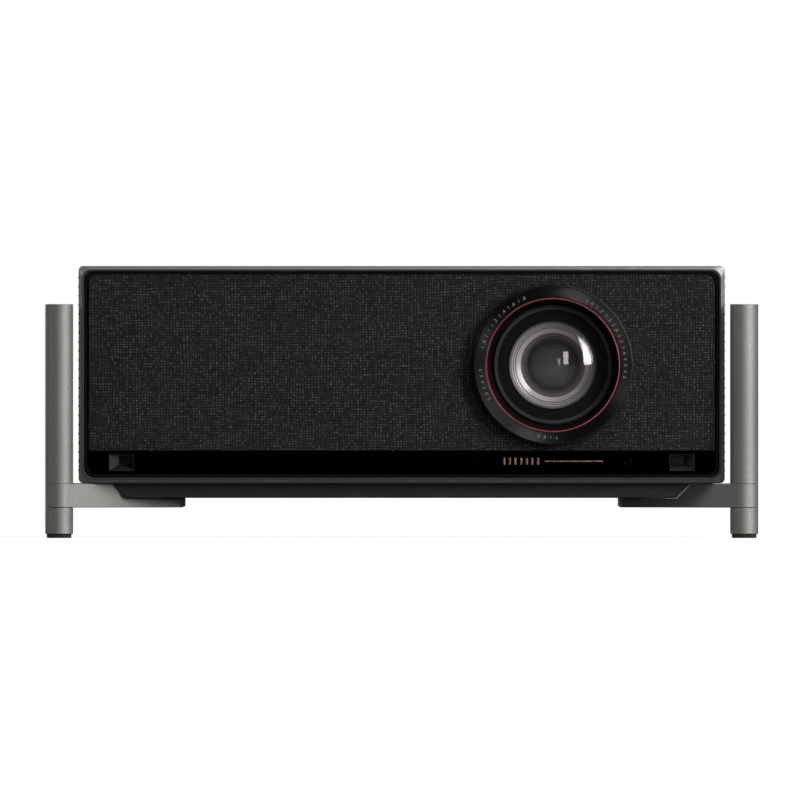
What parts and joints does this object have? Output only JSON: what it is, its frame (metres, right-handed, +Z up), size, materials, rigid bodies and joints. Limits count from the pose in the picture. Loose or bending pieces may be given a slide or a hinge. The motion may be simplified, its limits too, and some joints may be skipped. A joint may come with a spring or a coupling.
{
  "type": "home projector",
  "caption": "Wide, flat home-cinema projector on corner posts with screw feet; cloth front, large off-centre zoom lens, glossy sensor strip, ribbed sides.",
  "frame": {"origin": "centre of the footprint, on the surface that the feet stand on", "axes": "+Z up, +X to the right seen from the front, and the lens looks along -Y"},
  "size_m": [0.4354, 0.321, 0.164],
  "materials": {
    "anodised_grey": "bead-blasted warm grey anodised",
    "foot_rubber": "matte",
    "cast_black": "black powder coat",
    "black_plastic": "matte",
    "gloss_black": "polished, infrared-clear",
    "sensor_amber": "dark amber windows",
    "indicator_smoke": "smoked",
    "copper_inlay": "satin copper",
    "woven_cloth": "dark acoustic weave",
    "red_anodised": "satin red anodised",
    "lens_black": "black anodised",
    "polished_steel": "polished",
    "polished_aluminium": "polished steps",
    "optical_glass": "coated optical glass",
    "gear_brass": "machined",
    "motor_steel": "plated steel",
    "engine_cast": "die-cast",
    "heat_sink_metal": "mill finish fins, copper pipes",
    "circuit_board": "solder mask"
  },
  "bodies": {
    "chassis": {"arm_front_left": "anodised_grey", "arm_front_right": "anodised_grey", "arm_rear_left": "anodised_grey", "arm_rear_right": "anodised_grey", "arm_screws": "polished_steel", "arm_spacers": "black_plastic", "base_pan": "cast_black", "cloth_carrier": "black_plastic", "data_sockets": "polished_steel", "dmd_board": "circuit_board", "engine_housing": "engine_cast", "fan_frame": "black_plastic", "front_frame": "black_plastic", "front_inlay": "copper_inlay", "heat_sink": "heat_sink_metal", "indicator_lenses": "indicator_smoke", "laser_module": "engine_cast", "lens_barrel": "lens_black", "lens_hood": "black_plastic", "lens_motors": "motor_steel", "lens_red_ring": "red_anodised", "lens_trim_ring": "black_plastic", "main_board": "circuit_board", "mount_inserts": "gear_brass", "outer_shell": "anodised_grey", "post_front_left": "anodised_grey", "post_front_right": "anodised_grey", "post_rear_left": "anodised_grey", "post_rear_right": "anodised_grey", "power_board": "circuit_board", "power_inlet": "black_plastic", "prism": "optical_glass", "rear_panel": "black_plastic", "sensor_funnels": "black_plastic", "sensor_modules": "sensor_amber", "sensor_window": "gloss_black", "side_grille_left": "anodised_grey", "side_grille_right": "anodised_grey", "speaker_box": "black_plastic", "speaker_cloth": "woven_cloth", "speaker_drivers": "motor_steel"},
    "focus_ring": {"focus_ring": "black_plastic"},
    "focus_group": {"front_lens_cell": "lens_black", "front_element": "optical_glass", "front_baffle": "polished_aluminium"},
    "focus_pinion": {"focus_pinion": "gear_brass"},
    "zoom_ring": {"zoom_ring": "black_plastic"},
    "zoom_group": {"zoom_cell": "lens_black", "zoom_element": "optical_glass"},
    "zoom_pinion": {"zoom_pinion": "gear_brass"},
    "fan_rotor": {"fan_rotor": "black_plastic"},
    "power_button": {"power_button": "black_plastic"},
    "pad_front_left": {"foot_pad_front_left": "foot_rubber"},
    "knob_front_left": {"foot_knob_front_left": "anodised_grey"},
    "pad_front_right": {"foot_pad_front_right": "foot_rubber"},
    "knob_front_right": {"foot_knob_front_right": "anodised_grey"},
    "pad_rear_left": {"foot_pad_rear_left": "foot_rubber"},
    "knob_rear_left": {"foot_knob_rear_left": "anodised_grey"},
    "pad_rear_right": {"foot_pad_rear_right": "foot_rubber"},
    "knob_rear_right": {"foot_knob_rear_right": "anodised_grey"}
  },
  "joints": [
    {"name": "focus_turn", "type": "hinge", "parent": "chassis", "child": "focus_ring", "pos_m": [0.0912, -0.108, 0.1043], "axis": [0, -1, 0], "range_deg": [0, 90.1]},
    {"name": "focus_travel", "type": "slide", "parent": "chassis", "child": "focus_group", "axis": [0, -1, 0], "range_m": [0, 0.003]},
    {"name": "focus_pinion_turn", "type": "hinge", "parent": "chassis", "child": "focus_pinion", "pos_m": [0.0424, -0.108, 0.1043], "axis": [0, -1, 0], "range_deg": [-521, 1]},
    {"name": "zoom_turn", "type": "hinge", "parent": "chassis", "child": "zoom_ring", "pos_m": [0.0912, -0.08, 0.1043], "axis": [0, -1, 0], "range_deg": [0, 90.1]},
    {"name": "zoom_travel", "type": "slide", "parent": "chassis", "child": "zoom_group", "axis": [0, -1, 0], "range_m": [0, 0.006]},
    {"name": "zoom_pinion_turn", "type": "hinge", "parent": "chassis", "child": "zoom_pinion", "pos_m": [0.14, -0.08, 0.1043], "axis": [0, -1, 0], "range_deg": [-521, 1]},
    {"name": "fan_spin", "type": "hinge", "parent": "chassis", "child": "fan_rotor", "pos_m": [-0.1776, 0.066, 0.1], "axis": [-1, 0, 0], "continuous": true},
    {"name": "power_button_press", "type": "slide", "parent": "chassis", "child": "power_button", "axis": [0, -1, 0], "range_m": [0, 0.0015], "stiffness_N_per_m": 400},
    {"name": "foot_front_left_lift", "type": "slide", "parent": "chassis", "child": "pad_front_left", "axis": [0, 0, -1], "range_m": [0, 0.0075]},
    {"name": "foot_front_left_turn", "type": "hinge", "parent": "pad_front_left", "child": "knob_front_left", "pos_m": [-0.2065, -0.152, 0.0102], "axis": [0, 0, -1], "range_deg": [0, 2161]},
    {"name": "foot_front_right_lift", "type": "slide", "parent": "chassis", "child": "pad_front_right", "axis": [0, 0, -1], "range_m": [0, 0.0075]},
    {"name": "foot_front_right_turn", "type": "hinge", "parent": "pad_front_right", "child": "knob_front_right", "pos_m": [0.2065, -0.152, 0.0102], "axis": [0, 0, -1], "range_deg": [0, 2161]},
    {"name": "foot_rear_left_lift", "type": "slide", "parent": "chassis", "child": "pad_rear_left", "axis": [0, 0, -1], "range_m": [0, 0.0075]},
    {"name": "foot_rear_left_turn", "type": "hinge", "parent": "pad_rear_left", "child": "knob_rear_left", "pos_m": [-0.20925, 0.152, 0.0102], "axis": [0, 0, -1], "range_deg": [0, 2161]},
    {"name": "foot_rear_right_lift", "type": "slide", "parent": "chassis", "child": "pad_rear_right", "axis": [0, 0, -1], "range_m": [0, 0.0075]},
    {"name": "foot_rear_right_turn", "type": "hinge", "parent": "pad_rear_right", "child": "knob_rear_right", "pos_m": [0.20925, 0.152, 0.0102], "axis": [0, 0, -1], "range_deg": [0, 2161]}
  ],
  "couplings": [
    {"joint": "focus_turn", "follows": "focus_travel", "rad_per_m": 523.6},
    {"joint": "focus_pinion_turn", "follows": "focus_travel", "rad_per_m": -3025.2},
    {"joint": "zoom_turn", "follows": "zoom_travel", "rad_per_m": 261.8},
    {"joint": "zoom_pinion_turn", "follows": "zoom_travel", "rad_per_m": -1512.6},
    {"joint": "foot_front_left_turn", "follows": "foot_front_left_lift", "rad_per_m": 5026.5},
    {"joint": "foot_front_right_turn", "follows": "foot_front_right_lift", "rad_per_m": 5026.5},
    {"joint": "foot_rear_left_turn", "follows": "foot_rear_left_lift", "rad_per_m": 5026.5},
    {"joint": "foot_rear_right_turn", "follows": "foot_rear_right_lift", "rad_per_m": 5026.5}
  ]
}
